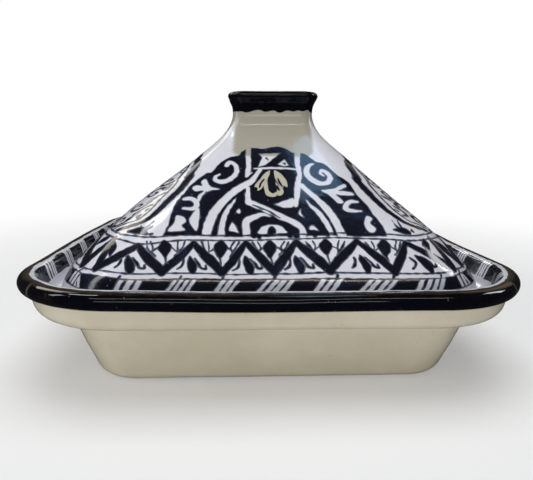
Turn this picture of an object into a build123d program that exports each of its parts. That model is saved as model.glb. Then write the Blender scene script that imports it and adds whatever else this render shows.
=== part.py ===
"""A square glazed tagine: a baking dish with a gallery rim, and the pyramid lid that stands in it.

Millimetres, +Z up. The origin is the middle of the dish's footprint, on the table.
Every level of both pieces is a square with rounded corners, so each wall is a loft
through a few such squares.
"""
from build123d import *
import os

# Dish, outside
rim_width = 300.0  # across the rim's bead
rim_corner = 65.0  # corner radius at the bead's outermost line
dish_height = 65.3  # table to the top of the rim
bead_diameter = 9.6  # the round lip along the rim's outer edge
foot_width = 218.0
foot_corner = 29.0
shoulder_corner = 39.0  # corner radius of the body just under the gallery
foot_rounding = 4.0

# Dish, gallery that holds the lid
gallery_depth = 15.3  # top of the rim to the ledge
ledge_thickness = 8.4
gallery_inset = 8.5  # how far the gallery's foot stands in from the bead's outermost line
gallery_overhang = 18.0  # how far the gallery's foot stands out from the body under it
rim_lip = 11.0  # width of the rim's top, bead included
gallery_lean = 5.0  # how far the gallery's wall leans outward over its depth
gallery_rounding = 4.0  # along the gallery's lower outer edge
lip_rounding = 3.0  # along the rim's inner shoulder

# Dish, inside and underneath
dish_wall = 7.8
floor_thickness = 8.0
floor_rounding = 10.0
ledge_rounding = 2.5
foot_ring_width = 12.0
foot_recess = 1.5

# Lid
lid_clearance = 5.4  # between the lid's edge and the foot of the gallery's wall, all round
seat_gap = 0.3  # between the lid's foot and the ledge
lid_roundness = 0.37  # corner radius of any level of the lid, over its half width
lid_wall = 7.0
edge_height = 5.0  # the upright edge at the lid's foot
brow_height = 15.2  # lid's foot to the line where the steep edge meets the slope
brow_inset = 6.0  # how far that line stands in from the edge
slope_swell = 1.0  # how far the slope bulges beyond a straight line, at its middle
slope_top_width = 87.0  # where the slope starts to turn up into the neck
slope_top_drop = 19.0  # neck down to that level
throat_spread = 3.7  # how far the tight part of that turn stands out beyond the neck, each side
throat_drop = 8.0  # neck down to that level
neck_width = 57.6  # the narrowest level
handle_height = 18.7  # neck to the top of the handle
handle_flare = 3.2  # how far the handle's top stands out beyond the neck, each side
lid_height = 124.4  # lid's foot to the top of the handle
cup_wall = 6.5  # its edge is fully rounded
cup_depth = 13.5  # hollow in the top of the handle
cup_taper = 2.0  # how much narrower the hollow is at its floor, each side
cup_rounding = 4.0
crown_thickness = 8.0  # between the handle's cup and the hollow below it
profile_steps = 20  # levels that the lid's curved slope is made of

# Levels and widths that follow from these
ledge_height = dish_height - gallery_depth
underside_height = ledge_height - ledge_thickness
bead_height = dish_height - bead_diameter / 2
bead_half_width = (rim_width - bead_diameter) / 2
bead_corner = rim_corner - bead_diameter / 2
lip_half_width = rim_width / 2 - rim_lip
lip_corner = rim_corner - rim_lip
ledge_half_width = lip_half_width - gallery_lean
ledge_corner = lip_corner - gallery_lean
gallery_half_width = rim_width / 2 - gallery_inset
gallery_corner = rim_corner - gallery_inset
shoulder_half_width = gallery_half_width - gallery_overhang
mouth_half_width = shoulder_half_width - dish_wall
floor_share = floor_thickness / underside_height
floor_half_width = (1 - floor_share) * foot_width / 2 + floor_share * shoulder_half_width - dish_wall
seat_height = ledge_height + seat_gap
lid_half_width = ledge_half_width - lid_clearance
brow_half_width = lid_half_width - brow_inset
neck_height = lid_height - handle_height
neck_half_width = neck_width / 2
throat_half_width = neck_half_width + throat_spread
throat_height = neck_height - throat_drop
slope_top_height = neck_height - slope_top_drop
mid_slope_half_width = (brow_half_width + slope_top_width / 2) / 2 + slope_swell
mid_slope_height = (brow_height + slope_top_height) / 2 + slope_swell
cup_mouth_height = lid_height - cup_wall / 2
handle_half_width = neck_half_width + handle_flare
cup_half_width = handle_half_width - cup_wall
cup_floor_height = lid_height - cup_depth
hollow_top_height = cup_floor_height - crown_thickness


def rounded_square(half_width, corner, height):
    """Draw one level of a wall, ready to be lofted."""
    with BuildSketch(Plane.XY.offset(height)) as level:
        RectangleRounded(2 * half_width, 2 * half_width, corner)
    return level.sketch


def lid_level(half_width, height):
    """Draw one level of the lid, whose height is counted from the lid's foot."""
    return rounded_square(half_width, half_width * lid_roundness, seat_height + height)


def inset(levels, wall):
    """Move each level of a wall square to the wall's own slope, to get its inner face."""
    inner = []
    for number, (half_width, height) in enumerate(levels):
        below = levels[max(number - 1, 0)]
        above = levels[min(number + 1, len(levels) - 1)]
        along = Vector(above[0] - below[0], above[1] - below[1]).normalized()
        inner.append((half_width - wall * along.Y, height + wall * along.X))
    return inner


# The baking dish: the gallery first, then its bead, the body under it and the hollows
with BuildPart() as base_dish:
    gallery_foot = rounded_square(gallery_half_width, gallery_corner, underside_height)
    gallery_top = rounded_square(bead_half_width, bead_corner, dish_height)
    loft([gallery_foot, gallery_top], ruled=True)
    fillet(base_dish.edges().group_by(Axis.Z)[0], gallery_rounding)

    bead_line = rounded_square(bead_half_width, bead_corner, bead_height).wire()
    with BuildSketch(Plane(bead_line @ 0, z_dir=bead_line % 0)):
        Circle(bead_diameter / 2)
    sweep(path=bead_line)

    foot = rounded_square(foot_width / 2, foot_corner, 0)
    shoulder = rounded_square(shoulder_half_width, shoulder_corner, underside_height)
    loft([foot, shoulder], ruled=True)
    fillet(base_dish.edges().group_by(Axis.Z)[0], foot_rounding)

    seat_foot = rounded_square(ledge_half_width, ledge_corner, ledge_height)
    seat_mouth = rounded_square(lip_half_width, lip_corner, dish_height)
    loft([seat_foot, seat_mouth], ruled=True, mode=Mode.SUBTRACT)
    fillet(base_dish.edges(Select.LAST).group_by(Axis.Z)[-1], lip_rounding)

    cavity_floor = rounded_square(floor_half_width, foot_corner - dish_wall, floor_thickness)
    cavity_mouth = rounded_square(mouth_half_width, shoulder_corner - dish_wall, ledge_height)
    loft([cavity_floor, cavity_mouth], ruled=True, mode=Mode.SUBTRACT)
    cavity_edges = base_dish.edges(Select.LAST).group_by(Axis.Z)
    fillet(cavity_edges[-1], ledge_rounding)
    fillet(cavity_edges[0], floor_rounding)

    with BuildSketch(Plane.XY):
        ring_inner = foot_width / 2 - foot_rounding - foot_ring_width
        RectangleRounded(2 * ring_inner, 2 * ring_inner, foot_corner * ring_inner / (foot_width / 2))
    extrude(amount=foot_recess, mode=Mode.SUBTRACT)

# The lid, with its handle moulded in one piece with it
with BuildLine():
    lid_profile = Spline(
        (brow_half_width, brow_height),
        (mid_slope_half_width, mid_slope_height),
        (slope_top_width / 2, slope_top_height),
        (throat_half_width, throat_height),
        (neck_half_width, neck_height),
        (handle_half_width, cup_mouth_height),
    )
edge_levels = [
    (lid_half_width, 0),
    (lid_half_width, edge_height),
]
profile_points = [lid_profile @ (step / profile_steps) for step in range(profile_steps + 1)]
lid_levels = edge_levels + [(point.X, point.Y) for point in profile_points]
cup_levels = [
    (cup_half_width - cup_taper, cup_floor_height),
    (cup_half_width, cup_mouth_height),
]
hollow_levels = [level for level in inset(lid_levels, lid_wall) if level[1] < hollow_top_height]
hollow_levels.append((neck_half_width - lid_wall, hollow_top_height))
with BuildPart() as lid:
    loft([lid_level(*level) for level in lid_levels], ruled=True)

    loft([lid_level(*level) for level in cup_levels], ruled=True, mode=Mode.SUBTRACT)
    fillet(lid.edges(Select.LAST).group_by(Axis.Z)[0], cup_rounding)

    cup_line = lid_level((handle_half_width + cup_half_width) / 2, cup_mouth_height).wire()
    with BuildSketch(Plane(cup_line @ 0, z_dir=cup_line % 0)):
        Circle(cup_wall / 2)
    sweep(path=cup_line)

    loft([lid_level(*level) for level in hollow_levels], ruled=True, mode=Mode.SUBTRACT)

os.makedirs("parts", exist_ok=True)
base_dish.part.label = "base_dish"
export_step(base_dish.part, "parts/base_dish.step")
lid.part.label = "lid"
export_step(lid.part, "parts/lid.step")
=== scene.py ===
"""The looks of a glazed tagine pot: a square baking dish and its painted lid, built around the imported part.

Sizes in the code are millimetres, except that the stage is laid out in metres. A wall is a stack of rounded
squares along a profile, and a point on it is given by its side (0 front, 1 right, 2 back, 3 left), by how far
across the side it is, and by how far along the profile it is.
"""

import math

import bpy
import numpy as np
from mathutils import Matrix, Vector
from mathutils.bvhtree import BVHTree


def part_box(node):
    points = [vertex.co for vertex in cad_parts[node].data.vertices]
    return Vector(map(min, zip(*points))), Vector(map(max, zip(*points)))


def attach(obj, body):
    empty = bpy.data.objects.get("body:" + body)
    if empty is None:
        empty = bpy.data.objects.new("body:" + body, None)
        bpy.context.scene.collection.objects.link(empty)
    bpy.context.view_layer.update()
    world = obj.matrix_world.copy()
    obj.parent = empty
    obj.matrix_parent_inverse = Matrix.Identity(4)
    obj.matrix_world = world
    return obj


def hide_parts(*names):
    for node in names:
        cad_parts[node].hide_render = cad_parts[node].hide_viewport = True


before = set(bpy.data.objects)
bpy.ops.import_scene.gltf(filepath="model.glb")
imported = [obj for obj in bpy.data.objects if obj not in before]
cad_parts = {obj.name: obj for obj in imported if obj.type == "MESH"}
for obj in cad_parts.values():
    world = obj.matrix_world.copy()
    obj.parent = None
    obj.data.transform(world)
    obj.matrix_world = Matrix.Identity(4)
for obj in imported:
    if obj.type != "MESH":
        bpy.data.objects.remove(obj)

bl_info = {
    "name": "Painted Tagine Pot",
    "version": (1, 0, 0),
    "blender": (4, 5, 0),
    "location": "3D View > Sidebar > Tagine",
    "description": "Glazes and paints the packed tagine pot and sets it in a small studio",
    "category": "Object",
}

MM = 0.001
SIDES = 4
SIDE_NAMES = ("front", "right", "back", "left")
FLANKS = (1, 3)
BASE = 47  # painted height of the medallion's base
COLUMNS = 46  # points along each side of a wall
AROUND = SIDES * COLUMNS
INK_SPREAD = 0.14  # how far ink creeps past the brush
SUNK = 0.12  # how deep the edges of painted glaze are sunk into the wall
RIM_GLAZE_REACH = 2.2  # how far in past its crest the rim's dark glaze runs
LID_FLAT_SHARE = 0.63  # the straight part of each side of the lid, as a share of its width
LEANING = (95, 160)  # heights between which the lid's handle leans off centre
NEAR_CORNER = 36  # past this far across the front and back, the neighbours' medallions are painted too
FLANK_HALF_SEEN = 58  # and their scrolls, from this far across their own faces
NECK = (111, 175)  # painted heights between which the neck's flats are darkened to a straw tone: painted shade and dark reflection
NECK_HALF_WIDTH = 26.5  # how far across the flats of the neck that painted shade reaches
EIGHTH = math.pi / 4  # a corner's arc from its start to its middle
REACH = 2.5  # how far outside a stroke its depth is still worked out

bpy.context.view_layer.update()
dish_low, dish_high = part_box("base_dish")
lid_low, lid_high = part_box("lid")


# ---------------------------------------------------------------- sizes and colours


def length(name, description, default_mm, low=0.0, high=1000.0):
    """A length shown in the panel, given here in millimetres."""
    return bpy.props.FloatProperty(
        name=name, description=description, default=default_mm * MM, min=low * MM, max=high * MM,
        unit="LENGTH", subtype="DISTANCE", precision=4,
    )


def colour(name, description, default):
    """A linear colour shown in the panel."""
    return bpy.props.FloatVectorProperty(
        name=name, description=description, default=default, min=0.0, max=1.0, size=3, subtype="COLOR"
    )


class TaginePotSizes(bpy.types.PropertyGroup):
    """Sizes of the glazed surfaces and the painted work."""

    dish_wave: length("Dish waviness", "How far the thrown dish strays from its mould", 0.35, 0, 2)
    lid_wave: length("Lid waviness", "How far the pressed lid strays from its mould", 0.5, 0, 2)
    handle_lean: length("Handle lean", "How far the handle stands off centre, to the right", 2.6, -3, 3)
    paint_cell: length("Painting step", "Spacing of the grid that painted edges are traced on", 0.45, 0.25, 2)
    paint_lift: length("Paint thickness", "How far the painted glaze stands above the white", 0.09, 0.03, 0.3)
    edge_wobble: length("Brush wobble", "How far the brushed edges wander", 0.11, 0, 1)
    handle_glaze_drop: length("Handle glaze depth", "How far the dark glaze runs down the handle", 14.0, 4, 30)
    white_line: length("White line", "Width of the bare white line inside the rim", 2.6, 0.5, 6)
    rim_band: length("Rim band", "Depth of the striped band inside the rim", 11.0, 4, 15)
    foot_bare: length("Bare foot ring", "Width of the unglazed clay ring that the dish stands on", 11.0, 2, 20)


class TaginePotColours(bpy.types.PropertyGroup):
    """Colours of the glazes, the clay and the studio."""

    lid_white: colour("Lid glaze", "White tin glaze of the lid", (0.66, 0.67, 0.72))
    lid_shade: colour("Lid glaze shade", "Where the lid's glaze lies thin", (0.60, 0.605, 0.65))
    # the outer walls' cream tone is partly the dish's own and partly painted shade: it is kept darker than the white
    # inside
    dish_cream_and_shade: colour("Dish glaze", "Cream glaze of the dish", (0.575, 0.54, 0.435))
    dish_shade: colour("Dish glaze shade", "Where the dish's glaze lies thin", (0.51, 0.468, 0.362))
    # painted light: the white inside the dish is kept brighter than the lid's same glaze, against the shade inside
    # the rim
    dish_inside_lit: colour("Dish inside", "White glaze inside the dish and its rim", (0.84, 0.84, 0.87))
    ink_dark: colour("Ink", "Thick cobalt black of the painting", (0.006, 0.007, 0.013))
    ink_thin: colour("Thin ink", "The same ink where the brush left little", (0.015, 0.022, 0.052))
    ink_bleed: colour("Ink bleed", "Grey blue edge where ink soaks into the white", (0.16, 0.18, 0.25))
    rim_dark: colour("Rim glaze", "Near-black glaze of rim and handle", (0.0012, 0.0015, 0.0035))
    rim_brown: colour("Rim glaze, thin", "Iron brown where that glaze breaks over the rim", (0.016, 0.011, 0.008))
    # painted shade and dark reflection, laid on the flats of the neck as a straw tone
    neck_painted_shade: colour("Neck glaze", "Straw tone of the thin glaze on the flats of the neck", (0.35, 0.335, 0.275))
    # the brown along the crest is partly glaze breaking and partly a painted sheen
    rim_crest_break_and_sheen: colour("Rim crest", "Where the rim's dark glaze breaks to brown along its crest", (0.10, 0.078, 0.058))
    # painted reflection: the palmette's straw tone stands in for a dim reflection across it
    palmette: colour("Palmette wash", "Straw wash of the small palmette", (0.47, 0.44, 0.33))
    clay: colour("Clay", "Bare fired clay of the foot ring", (0.52, 0.34, 0.23))
    floor: colour("Floor", "Pale studio floor", (0.90, 0.90, 0.90))


# ---------------------------------------------------------------- wandering and noise


class Waves:
    """Smooth repeatable wandering in space: a sum of sine waves whose lengths lie between two limits."""

    def __init__(self, seed, shortest, longest, count=7, parts=1):
        rng = np.random.default_rng(seed)
        heading = rng.normal(size=(parts, count, 3))
        heading /= np.linalg.norm(heading, axis=2, keepdims=True)
        waves = np.exp(rng.uniform(math.log(shortest), math.log(longest), (parts, count, 1)))
        self.k = heading * 2 * math.pi / waves
        self.phase = rng.uniform(0, 2 * math.pi, (parts, count))
        self.scale = math.sqrt(2 / count)

    def __call__(self, points, part=0):
        """Value between about -2 and 2 at each point."""
        angle = points @ self.k[part].T + self.phase[part]
        return np.sin(angle).sum(-1) * self.scale

    def slope(self, points, part=0):
        """How the value changes with x, y and z."""
        angle = points @ self.k[part].T + self.phase[part]
        return (np.cos(angle) @ self.k[part]) * self.scale


def ramp(value, low, high):
    """Ease from 0 at low to 1 at high."""
    share = np.clip((value - low) / (high - low), 0, 1)
    return share * share * (3 - 2 * share)


# ---------------------------------------------------------------- profiles


def rounded(points):
    """Join (half width, height, radius) points into one path with rounded corners."""
    path = []
    for i, (a, z, radius) in enumerate(points):
        here = np.array((a, z), float)
        if i in (0, len(points) - 1) or radius <= 0:
            path.append(here)
            continue
        back = np.array(points[i - 1][:2], float) - here
        ahead = np.array(points[i + 1][:2], float) - here
        room = min(np.linalg.norm(back), np.linalg.norm(ahead)) * 0.499
        back, ahead = back / np.linalg.norm(back), ahead / np.linalg.norm(ahead)
        turn = math.acos(max(-1.0, min(1.0, float(back @ ahead))))
        trim = min(radius / math.tan(turn / 2), room)
        start, end = here + back * trim, here + ahead * trim
        swing = math.pi - turn
        count = max(3, math.ceil(trim * math.tan(turn / 2) * swing * 1.5))
        centre = here + (back + ahead) / np.linalg.norm(back + ahead) * (trim / math.cos(turn / 2))
        first, last = start - centre, end - centre
        for share in np.linspace(0, 1, count + 1):
            one, two = math.sin((1 - share) * swing), math.sin(share * swing)
            path.append(centre + (first * one + last * two) / math.sin(swing))
    return np.array(path)


def outer_profile(node, heights):
    """Half widths of a CAD node's outer wall at the given heights, found by looking in from the front."""
    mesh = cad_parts[node].data
    tree = BVHTree.FromPolygons([v.co for v in mesh.vertices], [p.vertices for p in mesh.polygons])
    widths = []
    for z in heights:
        hit = tree.ray_cast((0.0004, -1.0, z * MM), (0, 1, 0))[0]
        if hit is None:
            raise RuntimeError(f"{node} has no wall at height {z} mm")
        widths.append(-hit.y / MM)
    return np.array(widths)


def smoothed(path, spread):
    """Even out a path with points 1 mm apart, keeping its ends."""
    reach = int(spread * 3)
    weights = np.exp(-0.5 * (np.arange(-reach, reach + 1) / spread) ** 2)
    weights /= weights.sum()
    padded = np.vstack([2 * path[0] - path[reach:0:-1], path, 2 * path[-1] - path[-2 : -reach - 2 : -1]])
    return np.stack([np.convolve(padded[:, i], weights, "valid") for i in (0, 1)], -1)


def distances(path):
    """How far along a path each of its points lies."""
    return np.r_[0, np.cumsum(np.linalg.norm(np.diff(path, axis=0), axis=1))]


def evenly(path, step=1.0):
    """The same path with its points the same distance apart."""
    run = distances(path)
    marks = np.linspace(0, run[-1], max(2, round(run[-1] / step) + 1))
    return np.stack([np.interp(marks, run, path[:, i]) for i in (0, 1)], -1)


# ---------------------------------------------------------------- walls


class Wall:
    """A moulded wall made of rounded squares, with a little hand-made wandering.

    The path holds a half width and a height for each level, and flat the straight part of that half width.
    """

    def __init__(self, path, flat, seed, wave, still_below, lean=0.0):
        self.path, self.run = path, distances(path)
        along = np.gradient(path, axis=0)
        along /= np.linalg.norm(along, axis=1, keepdims=True)
        self.levels = (path[:, 0], path[:, 1], flat, along[:, 1], -along[:, 0])
        self.waves = Waves(seed, shortest=55, longest=160, parts=3)
        self.wave, self.still_below, self.lean = wave, still_below, lean

    def level(self, along):
        """Half width, height, straight part, and how far outward and upward the profile faces."""
        return (np.interp(along, self.run, values) for values in self.levels)

    def half(self, along):
        """Half the length of one side, out to the middle of its corners."""
        a, _, flat, _, _ = self.level(along)
        return flat + EIGHTH * (a - flat)

    def place(self, side, across, along, lift=0.0):
        """Points on the wall and the way that they face."""
        a, z, flat, out, up = self.level(along)
        radius = np.maximum(a - flat, 1e-6)
        angle = np.clip((np.abs(across) - flat) / radius, 0, math.pi / 2)
        sign = np.where(across < 0, -1.0, 1.0)
        x = sign * (np.minimum(np.abs(across), flat) + radius * np.sin(angle))
        y = -(flat + radius * np.cos(angle))
        nx, ny = sign * np.sin(angle) * out, -np.cos(angle) * out
        c, s = ((1, 0), (0, 1), (-1, 0), (0, -1))[side]
        point = np.stack([c * x - s * y, s * x + c * y, z + 0 * x], -1)
        face = np.stack([c * nx - s * ny, s * nx + c * ny, up + 0 * x], -1)
        face /= np.linalg.norm(face, axis=-1, keepdims=True)
        return self.stray(point + face * np.asarray(lift)[..., None], face)

    def stray(self, point, face):
        """Move points as the potter's hand did, and turn the way they face to suit."""
        height = point[..., 2]
        free = ramp(height, self.still_below, self.still_below + 14)
        moved, turned = point.copy(), face.copy()
        # the part that seats on the other piece strays less sideways, and not at all in height
        for axis, amount in ((0, self.wave), (1, self.wave), (2, 0.6 * self.wave)):
            hold = free if axis == 2 else 0.35 + 0.65 * free
            moved[..., axis] += amount * hold * self.waves(point, axis)
            turned -= (amount * hold * face[..., axis])[..., None] * self.waves.slope(point, axis)
        moved[..., 0] += self.lean * ramp(height, *LEANING)
        return moved, turned / np.linalg.norm(turned, axis=-1, keepdims=True)

    def at(self, test, first=True):
        """How far along the first or last point of the path is that passes a test of (half width, height)."""
        found = [run for run, point in zip(self.run, self.path) if test(*point)]
        if not found:
            raise RuntimeError("no point of the wall's profile passes that test")
        return found[0] if first else found[-1]


def dish_wall(sizes):
    """The dish: underside, foot ring, body, gallery, bead, seat, cavity and floor, in that order."""
    top, bead = dish_high.z / MM, 4.8
    middle = dish_high.x / MM - bead
    recess, ledge, floor = 1.5, 50, 8
    outside = rounded([
        (0, recess, 0), (92.5, recess, 0.6), (93.3, 0, 0.8), (109, 0, 6.0), (123.3, 40.0, 2.2), (126, 41.6, 2.2),
        (141.0, 41.9, 9.0), (144.7, 57.2, 0.7),
    ])
    around = [
        (middle + bead * math.cos(t), top - bead + bead * math.sin(t))
        for t in np.linspace(math.radians(-118), math.radians(90), 26)
    ]
    inside = rounded([
        (middle, top, 0), (139.2, top - 0.2, 3.0), (134.1, ledge, 2.0), (116.4, ledge, 3.4), (103.99, floor, 11.0),
        (0, floor, 0),
    ])
    path = evenly(np.vstack([outside, around, inside[1:]]), 1.1)
    path[0, 0] = path[-1, 0] = 0
    flats = ((0, 0), (104, 82.4), (109, 80.6), (116, 84.2), (123.5, 84.5), (141.5, 85), (200, 85))
    made = Wall(path, np.interp(path[:, 0], *zip(*flats)), seed=11, wave=sizes.dish_wave / MM, still_below=44)
    made.crest = made.at(lambda a, z: z > top - 0.02)
    return made


def lid_wall(sizes):
    """The lid: hollow, foot, slope, neck, handle, rounded handle rim and cup, in that order."""
    foot, top, wall = lid_low.z / MM, lid_high.z / MM, 7.0
    rim, cup, crown = 3.25, 13.5, 8
    levels = np.arange(foot + 1.6, top - rim, 0.5)
    outer = smoothed(evenly(np.stack([outer_profile("lid", levels), levels], -1)), 2.2)
    inner = outer + np.gradient(outer, axis=0)[:, ::-1] * (-wall, wall)
    inner = inner[(inner[:, 1] < top - cup - crown - 1) & (inner[:, 0] < outer[0, 0] - wall + 0.6)]
    inner[:, 1] = np.maximum(inner[:, 1], foot + 1.5)
    hollow = rounded([(0, top - cup - crown, 0), (inner[-1, 0] - 1, top - cup - crown, 3.0), (*inner[-1], 0)])
    edge = rounded([
        (inner[0, 0], inner[0, 1] + 1, 0), (inner[0, 0], foot, 1.4), (outer[0, 0], foot, 1.4), (*outer[0], 0)
    ])
    handle, shoulder = outer[-1]
    around = [
        (handle - rim + rim * math.cos(t), shoulder + rim * math.sin(t)) for t in np.linspace(0, math.pi, 16)
    ]
    well = rounded([(*around[-1], 0), (handle - 2 * rim - 2, top - cup, 4.0), (0, top - cup, 0)])
    path = evenly(np.vstack([hollow, inner[::-1], edge, outer, around[1:], well[1:]]), 1.0)
    path[0, 0] = path[-1, 0] = 0
    made = Wall(
        path, path[:, 0] * LID_FLAT_SHARE, seed=23, wave=sizes.lid_wave / MM, still_below=56,
        lean=sizes.handle_lean / MM,
    )
    made.start = made.at(lambda a, z: a > outer[0, 0] - 1 and z > foot + 3) - 3  # painted heights count from here
    return made


# ---------------------------------------------------------------- meshes


def mesh_object(name, points, normals, face_sizes, corners, materials, body):
    """Make a mesh object out of arrays, smooth, facing as the normals say, riding on a body."""
    mesh = bpy.data.meshes.new(name)
    mesh.vertices.add(len(points))
    mesh.vertices.foreach_set("co", (points * MM).astype(np.float32).ravel())
    mesh.loops.add(len(corners))
    mesh.loops.foreach_set("vertex_index", corners.astype(np.int32))
    starts = np.r_[0, np.cumsum(face_sizes)[:-1]]
    mesh.polygons.add(len(face_sizes))
    mesh.polygons.foreach_set("loop_start", starts.astype(np.int32))
    mesh.polygons.foreach_set("loop_total", face_sizes.astype(np.int32))
    mesh.polygons.foreach_set("use_smooth", np.ones(len(face_sizes), bool))
    mesh.update(calc_edges=True)
    if mesh.validate():
        raise RuntimeError(f"{name} has faulty faces")
    mesh.normals_split_custom_set_from_vertices(normals.astype(np.float32))
    for material in materials:
        mesh.materials.append(material)
    piece = bpy.data.objects.new(name, mesh)
    bpy.context.scene.collection.objects.link(piece)
    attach(piece, body)
    return piece


def attribute(piece, name, values):
    """Give the piece's points a named value that its material can read."""
    layer = piece.data.attributes.new(name, "FLOAT", "POINT")
    layer.data.foreach_set("value", np.asarray(values, np.float32))


def wall_mesh(name, wall, materials, body):
    """The whole wall as one closed mesh, with a single point at each end of its profile."""
    rows = wall.run[1:-1]
    across = wall.half(rows)[:, None] * np.linspace(-1, 1, COLUMNS + 1)[:-1]
    along = np.repeat(rows[:, None], COLUMNS, 1)
    parts = [wall.place(side, across, along) for side in range(SIDES)]
    ends = [wall.place(0, np.zeros(1), np.array([run])) for run in wall.run[[0, -1]]]
    points, normals = (
        np.vstack([np.concatenate([part[i] for part in parts], 1).reshape(-1, 3), *(end[i] for end in ends)])
        for i in (0, 1)
    )
    last = len(points) - 1
    index = np.arange(last - 1).reshape(len(rows), AROUND)
    beside = np.roll(index, -1, 1)
    quads = np.stack([index[:-1], beside[:-1], beside[1:], index[1:]], -1)
    low = np.stack([np.full(AROUND, last - 1), beside[0], index[0]], -1)
    high = np.stack([np.full(AROUND, last), index[-1], beside[-1]], -1)
    corners = np.r_[quads.ravel(), low.ravel(), high.ravel()]
    face_sizes = np.repeat((4, 3), (quads.size // 4, 2 * AROUND))
    return mesh_object(name, points, normals, face_sizes, corners, materials, body)


def by_row(values):
    """One value for each point of a wall's mesh, from one for each row or each point of a row. Its ends get 0."""
    return np.r_[np.broadcast_to(values, (len(values), AROUND)).ravel(), 0, 0]


def traced(field, grid_x, grid_y):
    """Trace where a field is above zero: points, faces and the outline's edges, on a regular grid."""
    field = np.where(np.abs(field) < 1e-5, 1e-5, field)
    inside = field > 0
    gx, gy = np.meshgrid(grid_x, grid_y)
    found = []

    def numbered(chosen, x, y, value):
        """Keep the chosen points and number them on from those before."""
        numbers = np.full(chosen.shape, -1)
        numbers[chosen] = sum(len(points[0]) for points in found) + np.arange(chosen.sum())
        found.append((x[chosen], y[chosen], value[chosen]))
        return numbers

    def crossings(near, far):
        """Points where the outline crosses the grid's edges between two slices of it."""
        cross = inside[near] != inside[far]
        share = field[near] / (field[near] - field[far] + ~cross)
        x, y = (grid[near] + share * (grid[far] - grid[near]) for grid in (gx, gy))
        return numbered(cross, x, y, np.zeros(cross.shape))

    node = numbered(inside, gx, gy, field)
    flat_edge = crossings(np.s_[:, :-1], np.s_[:, 1:])
    tall_edge = crossings(np.s_[:-1], np.s_[1:])
    around = (np.s_[:-1, :-1], np.s_[:-1, 1:], np.s_[1:, 1:], np.s_[1:, :-1])
    edge = [flat_edge[:-1], tall_edge[:, 1:], flat_edge[1:], tall_edge[:, :-1]]
    code = sum(inside[corner].astype(int) << i for i, corner in enumerate(around))
    faces, outline = [], []
    for case in range(1, 16):
        here = code == case
        if not here.any():
            continue
        walk = []
        for i in range(4):
            now, after = case >> i & 1, case >> (i + 1) % 4 & 1
            if now:
                walk.append((False, node[around[i]][here]))
            if now != after:
                walk.append((True, edge[i][here]))
        faces.append(np.stack([w for _, w in walk], -1))
        for (one, a), (two, b) in zip(walk, walk[1:] + walk[:1]):
            if one and two:
                outline.append(np.stack([a, b], -1))
    x, y, value = (np.concatenate(part) for part in zip(*found))
    return x, y, value, faces, np.concatenate(outline)


def painted(name, wall, sides, span, paint, sizes, material, body, coarse=1.0, layers=1):
    """Lay painted glaze on a wall wherever paint(grid_x, grid_y, points) is above zero, with its edges sunk in."""
    cell, lift = coarse * sizes.paint_cell / MM, layers * sizes.paint_lift / MM
    grid_y = np.arange(span[0] - cell, span[1] + 2 * cell, cell)
    widest = wall.half(grid_y).max()
    grid_x = np.arange(-widest - cell, widest + 2 * cell, cell)
    across, along = np.meshgrid(grid_x, grid_y)
    bounds = np.minimum(wall.half(along) - np.abs(across), np.minimum(along - span[0], span[1] - along))
    points, normals, face_sizes, corners, depth = [], [], [], [], []
    offset = 0
    for side in sides:
        field = np.minimum(paint(grid_x, grid_y, wall.place(side, across, along)[0]), bounds)
        x, y, value, faces, outline = traced(field, grid_x, grid_y)
        top, normal = wall.place(side, x, y, lift)
        ends, where = np.unique(outline, return_inverse=True)
        sunk, sunk_normal = wall.place(side, x[ends], y[ends], -SUNK)
        where = where.reshape(outline.shape) + len(x)
        skirt = np.stack([outline[:, 1], outline[:, 0], where[:, 0], where[:, 1]], -1)
        for group in [*faces, skirt]:
            corners.append(group.ravel() + offset)
            face_sizes.append(np.full(len(group), group.shape[1]))
        points += [top, sunk]
        normals += [normal, sunk_normal]
        depth += [value, np.zeros(len(ends))]
        offset += len(x) + len(ends)
    piece = mesh_object(
        name, np.vstack(points), np.vstack(normals), np.concatenate(face_sizes), np.concatenate(corners), [material],
        body,
    )
    attribute(piece, "ink_depth", np.clip(np.concatenate(depth), 0, 3))
    return piece


# ---------------------------------------------------------------- brushwork


def curved(points, steps=6, closed=False):
    """A smooth line through points of any number of values each."""
    p = np.array(points, float)
    if len(p) < 3:
        return p
    if closed:
        p = np.vstack([p[-1], p, p[0], p[1]])
    else:
        p = np.vstack([2 * p[0] - p[1], p, 2 * p[-1] - p[-2]])
    t = np.linspace(0, 1, steps, endpoint=False)[:, None]
    parts = [
        0.5 * (2 * b + (c - a) * t + (2 * a - 5 * b + 4 * c - d) * t**2 + (3 * b - a - 3 * c + d) * t**3)
        for a, b, c, d in zip(p, p[1:], p[2:], p[3:])
    ]
    return np.vstack([*parts, p[-2:-1]] if not closed else parts)


def off_line(x, y, start, end):
    """How far along a straight line each place lies, as a share of it, and how far away from it."""
    dx, dy = end[0] - start[0], end[1] - start[1]
    x, y = x - start[0], y - start[1]
    share = np.clip((x * dx + y * dy) / max(dx * dx + dy * dy, 1e-9), 0, 1)
    return share, np.hypot(x - share * dx, y - share * dy)


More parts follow.
